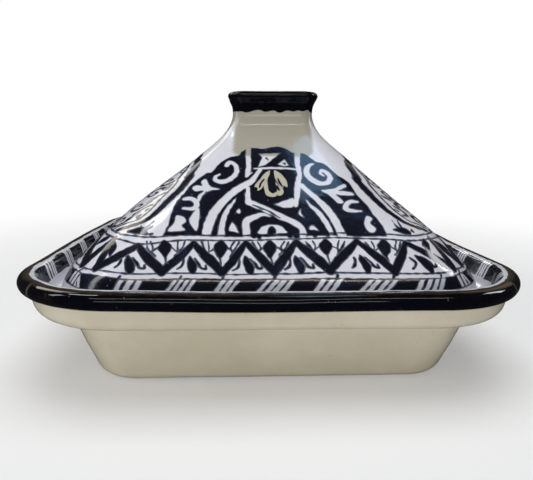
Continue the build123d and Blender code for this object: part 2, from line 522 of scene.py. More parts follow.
class Canvas:
    """Brushwork on a grid in millimetres: above zero in the ink, and how deep in it, below zero on bare glaze."""

    def __init__(self, grid_x, grid_y, shift_x, shift_y):
        self.x, self.y = grid_x[None, :] + shift_x, grid_y[:, None] + shift_y
        self.gx, self.gy, self.everywhere = grid_x, grid_y, False
        self.ink = np.full(self.x.shape, -3.0)

    def window(self, points, margin):
        """The part of the grid near some points."""
        if self.everywhere:
            return slice(None), slice(None)
        columns, rows = (
            slice(*np.searchsorted(grid, (min(p) - margin, max(p) + margin)))
            for grid, p in zip((self.gx, self.gy), zip(*points))
        )
        return rows, columns

    def lay(self, window, depth, ink):
        """Add ink where depth is above zero, or take it away."""
        self.ink[window] = np.maximum(self.ink[window], depth) if ink else np.minimum(self.ink[window], -depth)

    def stroke(self, points, width=None, ink=True, smooth=True):
        """A brush stroke through (x, y, width) points, or through (x, y) points with one width for all."""
        p = np.array([(*q, width) if len(q) == 2 else q for q in points], float)
        p = curved(p) if smooth else p
        for a, b in zip(p, p[1:]):
            window = self.window((a[:2], b[:2]), max(a[2], b[2]) / 2 + REACH)
            if self.x[window].size:
                share, away = off_line(self.x[window], self.y[window], a, b)
                self.lay(window, (a[2] + (b[2] - a[2]) * share) / 2 - away, ink)

    def shape(self, points, ink=True, smooth=True):
        """A filled shape."""
        p = curved(points, 4, closed=True) if smooth else np.array(points, float)
        window = self.window(p, REACH)
        x, y = self.x[window], self.y[window]
        near, inside = np.full(x.shape, 1e9), np.zeros(x.shape, bool)
        for (ax, ay), (bx, by) in zip(p, np.roll(p, -1, 0)):
            near = np.minimum(near, off_line(x, y, (ax, ay), (bx, by))[1])
            if ay != by:
                inside ^= ((ay > y) != (by > y)) & (x < ax + (y - ay) * (bx - ax) / (by - ay))
        self.lay(window, np.where(inside, near, -near), ink)

    def leaf(self, start, end, width, belly=0.5):
        """A pointed leaf or lozenge between two points."""
        a, b = np.array(start), np.array(end)
        middle = a + (b - a) * belly
        out = (b - a)[::-1] * (-1, 1) / np.hypot(*(b - a)) * width / 2
        low, high = a + (middle - a) * 0.55, middle + (b - middle) * 0.45
        self.shape([
            a, low + out * 0.78, middle + out, high + out * 0.72,
            b, high - out * 0.72, middle - out, low - out * 0.78,
        ])


def settle(height):
    """How much lower than drawn the painting lies: the borders hang a little down the swell of the lid."""
    all_over, hang, hang_height, hang_spread = 1.1, 2.0, 40, 17
    return all_over + hang * np.exp(-(((height - hang_height) / hang_spread) ** 2))


def paint_hatched_band(c, rng):
    """The dark band above the lid's edge, with groups of slanting white bars."""
    past_corner, low, high = 140, 9.0, 17.6
    c.shape([(-past_corner, low), (past_corner, low), (past_corner, high), (-past_corner, high)], smooth=False)
    # middle, half width, lean and number of bars of each group
    groups = (
        (-117, 6, -2, 3), (-81.5, 6.8, 3, 3), (-53, 7.2, 5, 4), (-28, 6, 5, 3), (-1, 8.6, 6, 4), (28, 6.2, 5, 3),
        (54.5, 9.0, 7, 4), (86, 9.2, 4.5, 4), (111.5, 6, -2, 3),
    )
    for middle, half, lean, bars in groups:
        middle += rng.uniform(-0.8, 0.8)
        pitch = 2 * half / bars
        for i in range(bars):
            x = middle - half + (i + 0.5) * pitch + rng.uniform(-0.3, 0.3)
            w = pitch * rng.uniform(0.62, 0.8)
            foot, head = x - lean / 2, x + lean / 2
            c.shape(
                [(foot - w / 2, 9.8), (foot + w / 2, 9.8), (head + w / 2, 17.0), (head - w / 2, 17.0)],
                ink=False, smooth=False,
            )
        x = middle - half + rng.integers(0, bars) * pitch
        c.stroke([(x + lean / 2, 16.9, 1.1), (x + lean / 2 + 1, 18.9, 1.6)])
    c.stroke([(-past_corner, low), (-70, 9.3), (0, 9.1), (70, 9.4), (past_corner, low)], 0.9)


def paint_zigzag(c, rng):
    """The zigzag border with its lozenges, veins and leaves."""
    c.stroke([(-112, 20.4), (-60, 20.9), (0, 20.8), (60, 20.7), (112, 20.4)], 0.95)
    tips = (
        (-97, 44), (-102.5, 21.6), (-79.5, 40.5), (-64, 21.8), (-48, 42.3), (-31, 21.8), (-18, 43.3), (-1.5, 21.8),
        (12, 43.6), (29, 21.8), (47, 44.3), (65, 21.8), (76, 42.6), (105.5, 21.6), (97, 44),
    )
    for (ax, ay), (bx, by) in zip(tips, tips[1:]):
        fat, bend = rng.uniform(5.0, 6.2), rng.uniform(-0.7, 0.7)
        start, end = ((x, y, fat * (0.6 if y > 30 else 0.9)) for x, y in ((ax, ay), (bx, by)))
        c.stroke([start, ((ax + bx) / 2 + bend, (ay + by) / 2 + bend * 0.5, fat), end])
    # lozenges, with veins beside the large ones
    for x, y, wide, tall in (
        (-96, 36.5, 6.4, 11), (-64.5, 38.4, 7.8, 12.4), (-32.6, 38.4, 8.4, 13.4), (-3, 38.2, 8.4, 14),
        (28.6, 38.8, 8.2, 13), (62.6, 39.0, 8, 13.5), (90, 39.5, 6.4, 9),
    ):
        lean = rng.uniform(-0.8, 0.8)
        c.leaf((x - lean, y + tall / 2), (x + lean, y - tall / 2), wide, belly=0.42)
        c.stroke([(x + lean, y - tall / 2 + 1, 1.3), (x + lean + 0.9, 28, 1.0), (x + 0.4, 25, 0.9)])
        for hand in (-1, 1) if wide > 7.5 else ():
            j = rng.uniform(-0.8, 0.8, 4)
            c.stroke([
                (x + hand * (11 + j[0]), 43.4, 1.0), (x + hand * (8.6 + j[1]), 38.5, 1.2),
                (x + hand * (5.6 + j[0]), 33.4 + j[2], 0.9),
            ])
            c.stroke([
                (x + hand * (7.6 + j[3]), 43.8, 0.9), (x + hand * (6.2 + j[1]), 39.6, 1.0),
                (x + hand * 7, 35 + j[2], 0.8),
            ])
            c.stroke([
                (x + hand * 3, 40.3 + j[2], 0.9), (x + hand * 6.2, 37.2 + j[3], 1.0),
                (x + hand * (9.6 + j[1]), 34.4, 0.9),
            ])
    # leaves under the zigzag
    for x, lean in ((-82, 1.5), (-48.8, 1.3), (-17, 1.6), (13, 1.4), (48.2, 1.6), (83, 4)):
        j = rng.uniform(-0.6, 0.6, 6)
        x += j[0]
        c.stroke([(x - lean, 33, 1.4), (x - 0.4, 29.2, 4.6), (x + lean * 0.7, 25, 5.4), (x + lean, 22, 3.4)])
        c.stroke([
            (x - 3.6 - lean, 31.6 + j[1], 1.2), (x - 4.8, 28.4, 1.6), (x - 5.6, 25.6, 1.7),
            (x - 7.8 + j[2], 23.8, 1.2),
        ])
        c.stroke([
            (x + 3.0 - lean, 31.8 + j[3], 1.2), (x + 4.2, 28, 1.7), (x + 5.8, 25, 1.9), (x + 8.2, 24.6 + j[4], 1.6),
            (x + 8, 26.8, 1.0),
        ])


def paint_guard_lines(c):
    """The two thin lines that part the zigzag from the field above it."""
    c.stroke([
        (-112, 43.2), (-92, 42.6), (-79, 41.6), (-58, 43.9), (-20, 44.9), (20, 45.6), (50, 46.2), (66, 45.3),
        (82, 43.8), (112, 43.2),
    ], 0.95)
    c.stroke([
        (-112, 46.4), (-90, 46), (-74, 46.4), (-52, 47.6), (-15, 48.4), (20, 48.9), (48, 49.8), (66, 48.9),
        (82, 47.2), (112, 46.4),
    ], 0.95)


def paint_sprigs(c):
    """A small thistle on the white beside each lower corner of the medallion."""
    for points in (
        [(-88.5, 48.6, 1.6), (-84, 49.2, 3.4), (-79, 50, 5.0), (-75.6, 48.4, 2.2)],
        [(-80, 49.5, 1.6), (-77, 52.4, 1.2), (-73, 56.6, 0.9)],
        [(-78.4, 49, 1.4), (-75.4, 51.4, 1.1), (-73, 53.4, 0.8)],
        [(-81.4, 50, 1.2), (-80.6, 53, 0.9)],
        [(-73.6, 48.2, 1.4), (-71.8, 48.8, 0.8)],
        [(70.5, 51.8, 1.2), (74, 51.2, 2.8), (77.8, 50.4, 4.4), (81, 48.8, 2.0)],
        [(75, 51.6, 1.4), (72.4, 54.4, 1.1), (70.6, 58, 0.8)],
        [(76.6, 51.6, 1.3), (75.4, 54.6, 1.0), (74.6, 57.4, 0.8)],
        [(83, 50.4, 1.8), (84.4, 49, 1.0)],
    ):
        c.stroke(points)


ROSETTE = (
    (-65.4, 46.8), (-64.8, 50), (-63.4, 55), (-63, 60), (-61.6, 66.5), (-60, 72), (-56.5, 78), (-53.5, 85),
    (-48, 92.5), (-44, 96.6), (-40.5, 97.8), (-38.5, 101), (-36, 105.4), (-31.5, 110), (-27, 112.4), (-22, 113.2),
    (-20, 117), (-16, 120.3), (-11, 121), (-5, 120.4), (0, 122.4), (5, 122.8), (10, 119.8), (14, 116.8), (19, 116.8),
    (23, 114.2), (27.6, 109.4), (31.5, 108), (35.5, 105), (38.5, 101), (41.5, 96.4), (45, 93.4), (48.4, 88),
    (51, 81), (54, 76), (57.6, 70), (59.4, 64), (60.8, 61), (63.4, 56), (64.8, 51.6), (65.4, 47.8), (60, 47.6),
    (0, 47.4), (-60, 47),
)
HEXAGON = ((-5, 100), (12.4, 100), (13.6, 97.6), (13.4, 77), (0, 71.4), (-12.6, 77.6), (-14, 84), (-10.4, 90))
FLANK_EDGE = (
    (90, 40), (91, 47), (94.6, 50.6), (97.6, 55), (96.6, 60), (93.6, 66), (89.4, 72), (84.6, 78), (80.6, 83),
    (75.6, 88.6), (72.6, 92), (70, 94.4), (67, 96), (62, 100), (57, 105), (51, 109.4), (46, 111.4), (41, 115),
    (34, 117.4), (29, 118), (23, 121), (14, 122.6), (9, 122.4), (4, 124),
)
FLANK_MEDALLION = FLANK_EDGE + tuple((-x, y) for x, y in reversed(FLANK_EDGE))


def paint_scrollwork(c, farther_than):
    """Fine seeded scrolls that fill the medallions on the right and left faces."""
    rng = np.random.default_rng(90)
    pitch, turns = 13.0, 9
    for row in range(6):
        y = BASE + 6.5 + row * pitch * 0.86
        for column in range(-7, 8):
            x = (column + 0.5 * (row % 2)) * pitch + rng.uniform(-1.5, 1.5)
            turn, hand, reach = rng.uniform(0, 2 * math.pi), rng.choice((-1, 1)), rng.uniform(5.0, 6.4)
            in_hexagon = abs(x) < 20 and 68 < y < 104
            if abs(x) < farther_than or in_hexagon:
                continue
            scroll = []
            for step in range(turns):
                angle, radius = turn + hand * step * 0.85, reach * (1 - 0.105 * step)
                scroll.append((x + radius * math.cos(angle), y + radius * math.sin(angle), 2.0 - 0.13 * step))
            c.stroke(scroll)
            angle = turn - hand * 0.9
            tip = (x + 1.35 * reach * math.cos(angle), y + 1.35 * reach * math.sin(angle))
            c.leaf(scroll[0][:2], tip, 3.4)


def paint_flank_medallion(c, farther_than=-1):
    """The medallion of the right and left faces: a scalloped outline, a white ring, a line and fine scrolls."""
    c.shape(FLANK_MEDALLION)
    depth = c.ink.copy()
    c.ink[:] = -3
    paint_scrollwork(c, farther_than)
    outline_width, line_depth, half_line, scroll_depth = 4.0, 7.2, 0.6, 8.6
    outline = np.minimum(depth, outline_width - depth)
    line = half_line - np.abs(depth - line_depth)
    scrolls = np.minimum(c.ink, depth - scroll_depth)
    c.ink = np.minimum(np.maximum(np.maximum(outline, line), scrolls), c.y - BASE)
    if farther_than < 0:
        c.stroke([*HEXAGON, HEXAGON[0]], 8.6, ink=False, smooth=False)
        c.shape(HEXAGON, smooth=False)


def paint_medallion(c):
    """The great scalloped medallion: arches, scrolls and leaves left white in the ink."""
    c.shape(ROSETTE)

    def wipe(*points):
        c.stroke(points, ink=False)

    def cut(*points, smooth=True):
        c.shape(points, ink=False, smooth=smooth)

    # arches
    wipe(
        (-41, 47, 5.2), (-39.6, 56, 5.6), (-36.4, 64.4, 5.6), (-31.8, 72.4, 5.2), (-25.8, 79.8, 5.0),
        (-19.6, 85.4, 4.8), (-13.6, 89.6, 4.6), (-10.6, 94, 3.6), (-7.6, 100.6, 3.0),
    )
    wipe((39.4, 48, 5), (37.2, 57, 5), (33.2, 66, 4.7), (28, 74.4, 4.3), (22.4, 81.4, 3.8), (18, 87, 3.2))
    wipe((-32.2, 47, 4.4), (-31.4, 56, 3.6), (-28.4, 66, 3.2), (-25.4, 71.4, 2), (-23.6, 75.6, 0.5))
    wipe((33, 50, 3), (31, 57, 3.4), (26.6, 65.4, 3), (22.8, 70, 1.8), (20.4, 74.6, 0.5))
    cut((-27.4, 52), (-25, 57.4), (-21.6, 50.4), (-24.4, 51.2))
    cut((20.4, 52.4), (22.4, 55.8), (25.2, 51.6), (22.6, 52))
    cut((-22.4, 65), (-21, 67.2), (-20, 64.6), (-21, 63.4))
    wipe((17.2, 66.4, 0.8), (16.8, 63.6, 1.5), (18.6, 61, 0.7))
    # straps
    wipe((16.6, 116.6, 3.4), (16.3, 105, 3.2), (17, 97, 2.8), (16, 87, 3.6), (15, 77, 3.6), (14.4, 69.4, 2.4))
    wipe((-15.4, 119.4, 3.6), (-15.5, 107, 3.4), (-16, 98, 3.4), (-16.4, 94.6, 2.4))
    wipe((-13.4, 97.4, 1.2), (-16.8, 94, 1.8))
    wipe((-15.6, 84.2, 2.4), (-16.2, 78, 3.4), (-15.8, 72.4, 4.2))
    wipe(
        (-15.6, 72, 4), (-9, 69.2, 4.4), (-1.6, 65.4, 4.2), (6, 60.8, 4.2), (13, 56.8, 4.4), (16.2, 53, 3.8),
        (16.2, 47, 3.6),
    )
    wipe((-1.6, 61.8, 0.9), (-6.6, 63, 2.6), (-13, 60.4, 4), (-17, 57.4, 4.2), (-17.2, 47, 4.4))
    cut((0.8, 70.6), (6, 72.8), (12.6, 75.8), (14.2, 70), (11, 67.6), (6, 68), smooth=False)
    wipe((-11.6, 101.2, 1.3), (-4, 101.5, 2.0), (8, 101.3, 1.9), (15, 101, 1.6))
    c.shape(HEXAGON, smooth=False)
    # eye under the lower arch
    cut((-9.6, 49.6), (-8.6, 53), (-5, 55.2), (0, 55.6), (4.4, 54.4), (6.4, 51.4), (6, 49.6))
    c.shape([(-4.4, 49), (-3.6, 52.6), (-2.6, 54.4), (-0.6, 54.6), (0.6, 52), (0.4, 49)])
    # crown
    cut(
        (-8, 115.2), (-6.2, 112), (-7.4, 108), (-9, 103), (-4.4, 104.4), (-0.6, 109), (5.2, 116), (-2, 115.6),
        smooth=False,
    )
    c.stroke([(-3.6, 111, 1.3), (-2.4, 109, 1.1)])
    cut((3.6, 105), (7.8, 109.8), (10.8, 104.4), (7.4, 103.2), smooth=False)
    c.shape([(6.4, 106.6), (8.6, 106.8), (8.4, 104.2)], smooth=False)
    # scrolls
    wipe(
        (-30.4, 103.8, 3.4), (-28.6, 106.6, 3.8), (-25.4, 105.6, 3.2), (-23.4, 101, 3.2), (-23.8, 96, 3.4),
        (-27, 91.6, 3.6), (-32, 89, 3.8), (-36.6, 90.2, 3.2), (-37.6, 93.4, 2.4), (-35, 95.4, 1.4),
    )
    wipe(
        (26.4, 107, 1.2), (23.6, 105.6, 2.6), (21.4, 101.4, 3.6), (21.6, 96.4, 4), (24.6, 91.8, 4),
        (29.6, 89.2, 3.8), (34.6, 90.4, 3.6), (36.2, 95, 3.6), (34.4, 99.4, 3.4), (31.4, 101, 2.8),
        (30.2, 98.4, 2.2), (32.4, 96, 1.3),
    )
    # leaves on the left
    cut(
        (-33.8, 82.6), (-38.6, 81.4), (-41.6, 79.6), (-44.6, 75), (-45.6, 72.2), (-47, 76.4), (-43.6, 81),
        (-49, 80.6), (-51.4, 83.4), (-48.6, 86.2), (-45, 85.6), (-46.2, 89.4), (-43.4, 92), (-41.2, 87.4),
        (-38.4, 84),
    )
    wipe((-55.4, 74.2, 2.2), (-50.6, 74.4, 3.4), (-47.2, 71, 3.4), (-48.4, 67, 3.2), (-55.6, 66.8, 1.8))
    cut((-50.4, 61.4), (-45.6, 67.4), (-45.4, 59), (-46.8, 50.4), (-51.4, 56.6))
    cut((-63, 50.4), (-60.4, 56), (-59.4, 61.2), (-55.4, 60.6), (-53.4, 57), (-56, 54), (-53.8, 50.6))
    # leaves on the right
    cut(
        (30, 83.6), (37, 85), (44, 88.8), (45.2, 86), (40.6, 83.4), (47.8, 81.8), (49.6, 79), (43.6, 79.2),
        (39, 80.2), (41.4, 76.6), (42.8, 73), (39.4, 72.6), (36.4, 77.4), (33.4, 80.8),
    )
    wipe((51.4, 73.6, 1.8), (46.6, 73.8, 3.4), (43.8, 70, 3.6), (45, 66.4, 3.4), (53, 65.6, 1.8))
    cut((54, 57), (56, 61.8), (59.2, 60), (57.4, 57), (60, 53.2), (58.4, 50.4), (56, 50.6), (54.4, 53.6))
    for x, y, w in (
        (-13.4, 47.8, 3.6), (-10.2, 47.2, 3.0), (8.2, 47.8, 3.4), (11.8, 47.6, 4.0), (22, 48.2, 3.4), (30, 48.2, 2.8),
    ):
        c.stroke([(x, y + 1, w), (x + 0.6, y, w)])
    # dark accents over the white
    c.stroke([(-12.6, 70, 0.8), (-3, 65.8, 1.1), (4, 60.6, 0.8)])
    c.stroke([(0, 70.8, 0.9), (6, 67, 1.1), (9, 64.6, 0.8)])
    c.stroke([(-44, 75.4, 0.8), (-42, 79.8, 0.9)])


def paint_palmette(c):
    """The little palmette in the middle of the hexagon."""
    c.shape([
        (-1.0, 99.2), (-4.6, 96.4), (-7.2, 91.6), (-9.8, 88.2), (-11, 85), (-9, 84.4), (-9.4, 81.4), (-6, 83.4),
        (-4.6, 86.6), (-2.2, 91),
    ])
    c.shape([
        (-2.2, 90), (-4.6, 86.4), (-4.2, 81), (-3.8, 77.8), (-0.6, 76.2), (2.6, 77.4), (2.8, 80.6), (0.4, 79.4),
        (-1.6, 82),
    ])
    c.shape([(2.6, 90), (4.4, 86.6), (6.8, 83), (6.4, 78.6), (3.6, 77.4), (3.0, 80), (3.2, 84)])
    c.shape([
        (1.2, 99.2), (5.0, 97), (8.0, 93.2), (10.0, 88.6), (9.6, 85), (7.6, 86.4), (6.6, 83.4), (4.6, 87),
        (2.6, 91.4),
    ])
    c.stroke([(-4.4, 91.4, 0.8), (-6.4, 88, 1.3), (-7.6, 84.6, 1.0)], ink=False)
    c.stroke([(4.2, 92, 0.8), (5.4, 88.4, 1.3), (6.6, 85.6, 1.0)], ink=False)
    c.stroke([(3.6, 86, 0.8), (4.4, 82.4, 1.2)], ink=False)


# ---------------------------------------------------------------- materials


class Nodes:
    """Shorthand for building the node tree of a material, a world or a group."""

    def __init__(self, tree):
        self.tree = tree

    def add(self, kind, inputs=None, **settings):
        """A node with its settings, and with its inputs set or joined."""
        node = self.tree.nodes.new(kind)
        for name, value in settings.items():
            setattr(node, name, value)
        for name, value in (inputs or {}).items():
            if isinstance(value, bpy.types.NodeSocket):
                self.tree.links.new(value, node.inputs[name])
            else:
                node.inputs[name].default_value = value
        return node

    def place(self):
        """Where the surface is, in the piece's own space."""
        return self.add("ShaderNodeTexCoord").outputs["Object"]

    def painted_value(self, name):
        """A value that the mesh carries."""
        return self.add("ShaderNodeAttribute", attribute_name=name).outputs["Fac"]

    def math(self, operation, first, second=0.0, clamp=False):
        return self.add("ShaderNodeMath", {0: first, 1: second}, operation=operation, use_clamp=clamp).outputs[0]

    def weigh(self, first, share, second):
        """A share of the first value and the rest of the second."""
        return self.math("ADD", self.math("MULTIPLY", first, share), self.math("MULTIPLY", second, 1 - share))

    def between(self, value, low, high, out_low=0.0, out_high=1.0):
        """Ease a value from one range to another."""
        return self.add(
            "ShaderNodeMapRange",
            {"Value": value, "From Min": low, "From Max": high, "To Min": out_low, "To Max": out_high},
            interpolation_type="SMOOTHSTEP",
        ).outputs["Result"]

    def mix(self, factor, first, second):
        """Blend two colours."""
        colours = {i: c if isinstance(c, bpy.types.NodeSocket) else (*c, 1.0) for i, c in ((6, first), (7, second))}
        return self.add("ShaderNodeMix", {0: factor, **colours}, data_type="RGBA").outputs[2]

    def noise(self, vector, scale, detail=2.0, roughness=0.5, distortion=0.0):
        return self.add(
            "ShaderNodeTexNoise",
            {"Vector": vector, "Scale": scale, "Detail": detail, "Roughness": roughness, "Distortion": distortion},
        ).outputs["Fac"]

    def spots(self, vector, scale, chance, core, edge):
        """Round spots in a few cells picked by chance, full within the core and gone past the edge."""
        cells = self.add("ShaderNodeTexVoronoi", {"Vector": vector, "Scale": scale})
        pick = self.add("ShaderNodeSeparateColor", {0: cells.outputs["Color"]}).outputs[0]
        dot = self.between(cells.outputs["Distance"], core, edge, 1.0, 0.0)
        return self.math("MULTIPLY", dot, self.between(pick, *chance))

    def surface(self, base, roughness, height, strength=0.35, distance=0.0012):
        """The shader of a material, with a bumpy surface."""
        bump = self.add("ShaderNodeBump", {"Height": height, "Strength": strength, "Distance": distance})
        shader = self.add(
            "ShaderNodeBsdfPrincipled", {"Base Color": base, "Roughness": roughness, "Normal": bump.outputs["Normal"]}
        )
        self.add("ShaderNodeOutputMaterial", {"Surface": shader.outputs["BSDF"]})


def emptied(owner):
    """The node tree of a material or a world, with nothing in it."""
    owner.use_nodes = True
    owner.node_tree.nodes.clear()
    return Nodes(owner.node_tree)


def shader_group(name, inputs, fill):
    """The node group of that name, filled the first time that it is asked for. Fill gives its outputs by name."""
    if name not in bpy.data.node_groups:
        group = bpy.data.node_groups.new(name, "ShaderNodeTree")
        for label, default in inputs.items():
            socket = group.interface.new_socket(label, in_out="INPUT", socket_type="NodeSocketFloat")
            socket.default_value = default
        n = Nodes(group)
        outputs = fill(n, n.add("NodeGroupInput").outputs)
        for label in outputs:
            group.interface.new_socket(label, in_out="OUTPUT", socket_type="NodeSocketFloat")
        n.add("NodeGroupOutput", outputs)
    return bpy.data.node_groups[name]


def fired_glaze(n, given):
    """Fired glaze: slow changes of tone, pinholes, uneven gloss and a faintly rippled surface."""
    place = n.place()
    clouds = n.noise(place, scale=14, detail=3, roughness=0.55, distortion=0.4)
    mottle = n.noise(place, scale=90, detail=3, roughness=0.6)
    pits = n.math("MULTIPLY", n.spots(place, 120.0, chance=(0.70, 0.74), core=0.035, edge=0.085), given["Pinholes"])
    haze = n.noise(place, scale=30, detail=4, roughness=0.65)
    dullness = n.math("MULTIPLY", n.between(haze, 0.35, 0.75), 0.09)
    ripples, peel = n.noise(place, scale=32, detail=1), n.noise(place, scale=210)
    relief = n.math("ADD", ripples, n.math("MULTIPLY", peel, 0.10))
    relief = n.math("MULTIPLY", relief, given["Ripple"])
    plain = n.math("ADD", given["Gloss"], dullness)
    return {
        "Tone": n.between(n.weigh(clouds, 0.7, mottle), 0.34, 0.68),
        "Pits": pits,
        "Roughness": n.math("ADD", plain, n.math("MULTIPLY", pits, 0.4), clamp=True),
        "Height": n.math("SUBTRACT", relief, n.math("MULTIPLY", pits, 0.35)),
    }


def brushed_colour(n, given):
    """Brushed colour: how thickly it lies, with streaks along the stroke, speckles and a thin wet edge, which on the
    rim is widened into a painted sheen.
    """
    place = n.place()
    pools = n.noise(place, scale=26, detail=3, roughness=0.6, distortion=0.8)
    stretched = n.add("ShaderNodeMapping", {"Vector": place, "Scale": (1.0, 1.0, 2.6)}).outputs[0]
    streaks = n.noise(stretched, scale=160, detail=3, roughness=0.6, distortion=0.5)
    lack = n.math("SUBTRACT", n.weigh(pools, 0.72, streaks), given["Coverage"])
    ragged = n.math("MULTIPLY", n.math("SUBTRACT", streaks, 0.5), 0.9)
    depth = n.math("ADD", n.painted_value("ink_depth"), ragged)
    return {
        "Thin": n.math("DIVIDE", lack, 0.22, clamp=True),
        "Edge": n.math("SUBTRACT", 1.0, n.math("DIVIDE", depth, given["Edge width"]), clamp=True),
        "Speckle": n.spots(place, 300.0, chance=(0.86, 0.9), core=0.06, edge=0.2),
    }


def glaze(n, pinholes, gloss, ripple):
    """The fired glaze's outputs, in one material."""
    group = shader_group("Fired glaze", {"Pinholes": 0.5, "Gloss": 0.08, "Ripple": 1.0}, fired_glaze)
    values = {"Pinholes": pinholes, "Gloss": gloss, "Ripple": ripple}
    return n.add("ShaderNodeGroup", values, node_tree=group).outputs


def glazed(n, main, shade, pinholes=0.45, gloss=0.07, ripple=1.0, crease=None, patchy=True):
    """White or cream glaze, darker where it lies thin, and darkened to another tone as painted shade where the mesh
    carries painted shade.
    """
    fired = glaze(n, pinholes, gloss, ripple)
    base = n.mix(fired["Tone"], shade, main)
    # painted shade, as much as the mesh's crease value says
    if crease:
        mask = n.painted_value("crease")
        if patchy:
            patches = n.noise(n.place(), scale=70, detail=3, roughness=0.6)
            mask = n.math("MULTIPLY", mask, n.between(patches, 0.3, 0.62))
        base = n.mix(mask, base, crease)
    base = n.mix(fired["Pits"], base, shaded(shade, 0.35))
    n.surface(base, fired["Roughness"], fired["Height"])


def inked(n, dark, thin, bleed_and_sheen, coverage=0.5, edge=0.8, gloss=0.07, ripple=1.0):
    """Painted colour under a clear gloss, with a bleed colour along its edges, which on the rim is also a painted
    sheen.
    """
    fired = glaze(n, 0.5, gloss, ripple)
    group = shader_group("Brushed colour", {"Coverage": 0.5, "Edge width": 0.7}, brushed_colour)
    brush = n.add("ShaderNodeGroup", {"Coverage": coverage, "Edge width": edge}, node_tree=group).outputs
    base = n.mix(brush["Thin"], dark, thin)
    for trace, amount in (("Edge", 0.75), ("Speckle", 0.5)):
        base = n.mix(n.math("MULTIPLY", brush[trace], amount), base, bleed_and_sheen)
    n.surface(base, fired["Roughness"], fired["Height"])


def clay(n, main):
    """Bare fired clay: dull, grainy and a little stained."""
    grain = n.noise(n.place(), scale=420, detail=4, roughness=0.7)
    stain = n.noise(n.place(), scale=24, detail=3, roughness=0.6)
    base = n.mix(n.between(n.weigh(grain, 0.5, stain), 0.35, 0.65), shaded(main, 0.55), main)
    n.surface(base, n.between(grain, 0.3, 0.7, 0.8, 0.95), grain, strength=0.5, distance=0.0004)


def paper(n, main):
    """Pale paper that fades into the white backdrop away from the pot, and looks dim in reflections."""
    distance = n.add("ShaderNodeVectorMath", {0: n.place()}, operation="LENGTH").outputs["Value"]
    rays = n.add("ShaderNodeLightPath").outputs
    shade = n.mix(rays["Is Glossy Ray"], main, shaded(main, 0.04))
    sheet = n.add("ShaderNodeBsdfDiffuse", {"Color": shade})
    white = n.add("ShaderNodeEmission", {"Color": (1, 1, 1, 1), "Strength": 1.0})
    fade = n.math("MULTIPLY", n.between(distance, 0.15, 0.75, 0.25, 1.0), rays["Is Camera Ray"])
    both = n.add("ShaderNodeMixShader", {0: fade, 1: sheet.outputs[0], 2: white.outputs[0]})
    n.add("ShaderNodeOutputMaterial", {"Surface": both.outputs[0]})


def shaded(tone, share):
    """A darker or brighter tone of a colour."""
    return tuple(share * part for part in tone)


def keep(name, fill, *given, **named):
    """The material of that name, made and filled with nodes the first time that it is asked for."""
    if name not in bpy.data.materials:
        fill(emptied(bpy.data.materials.new(name)), *given, **named)
    return bpy.data.materials[name]


def ink_material(colours):
    return keep("ink", inked, colours.ink_dark, colours.ink_thin, colours.ink_bleed)


# ---------------------------------------------------------------- operators


def settings():
    scene = bpy.context.scene
    return scene.tagine_sizes, scene.tagine_colours


# Name, place, width and depth in metres, power and tint of each softbox
SOFT_LIGHTS = (
    ("key_overhead", (0.0, -0.15, 1.5), (1.3, 1.1), 15.0, (0.97, 0.985, 1.0)),
    ("fill_left", (-1.5, -0.5, 0.8), (0.8, 0.8), 4.6, (1.0, 0.98, 0.95)),
    ("fill_low", (-0.4, -1.4, 0.12), (1.8, 0.3), 10.5, (1.0, 0.98, 0.94)),
)
# The same for lamps that are seen only as reflections in the glaze
GLOSS_LIGHTS = (
    ("window_left", (-1.3, -0.35, 0.95), (0.20, 0.6), 2.0, (0.96, 0.98, 1.0)),
    ("sheen_left", (-0.9, 0.6, 0.95), (0.5, 0.5), 2.6, (1.0, 0.92, 0.80)),
    ("skylight", (-0.65, 0.07, 1.25), (0.16, 0.35), 1.6, (1.0, 1.0, 1.0)),
    ("sheen_right", (0.95, 0.7, 0.75), (0.6, 0.5), 0.35, (1.0, 0.76, 0.52)),
    ("panel_above", (0.22, 0.06, 1.25), (0.30, 0.16), 0.45, (0.34, 0.62, 1.0)),
    ("window_right", (1.4, 0.1, 0.9), (0.25, 0.5), 3.0, (0.95, 0.97, 1.0)),
    ("high_strip", (0.0, -0.82, 1.06), (1.3, 0.04), 1.6, (1.0, 0.86, 0.70)),
    ("low_strip", (-0.1, -1.5, 0.55), (1.2, 0.05), 1.6, (0.92, 0.95, 1.0)),
    ("back_strip", (0.1, 1.5, 0.95), (1.3, 0.08), 3.0, (0.97, 0.98, 1.0)),
)


def add_light(scene, name, place, size, power, tint):
    """A softbox that looks at the middle of the pot."""
    data = bpy.data.lights.new(name, "AREA")
    data.shape, data.size, data.size_y = "RECTANGLE", *size
    data.energy, data.color = power, tint
    lamp = bpy.data.objects.new(name, data)
    lamp.location = place
    lamp.rotation_mode = "QUATERNION"
    middle = Vector((0, 0, (dish_low.z + lid_high.z) / 2))
    lamp.rotation_quaternion = (lamp.location - middle).to_track_quat("Z", "Y")
    scene.collection.objects.link(lamp)
    return lamp


def add_world(scene):
    """A white backdrop that lights the pot only softly."""
    scene.world = bpy.data.worlds.new("studio")
    n = emptied(scene.world)
    rays = n.add("ShaderNodeLightPath").outputs
    room, dim, backdrop = (
        n.add("ShaderNodeBackground", {"Color": tint, "Strength": strength}).outputs[0]
        for tint, strength in (((0.97, 0.97, 1.0, 1), 0.22), ((1.0, 0.9, 0.78, 1), 0.03), ((1, 1, 1, 1), 1.0))
    )
    lit = n.add("ShaderNodeMixShader", {0: rays["Is Glossy Ray"], 1: room, 2: dim})
    both = n.add("ShaderNodeMixShader", {0: rays["Is Camera Ray"], 1: lit.outputs[0], 2: backdrop})
    n.add("ShaderNodeOutputWorld", {"Surface": both.outputs[0]})


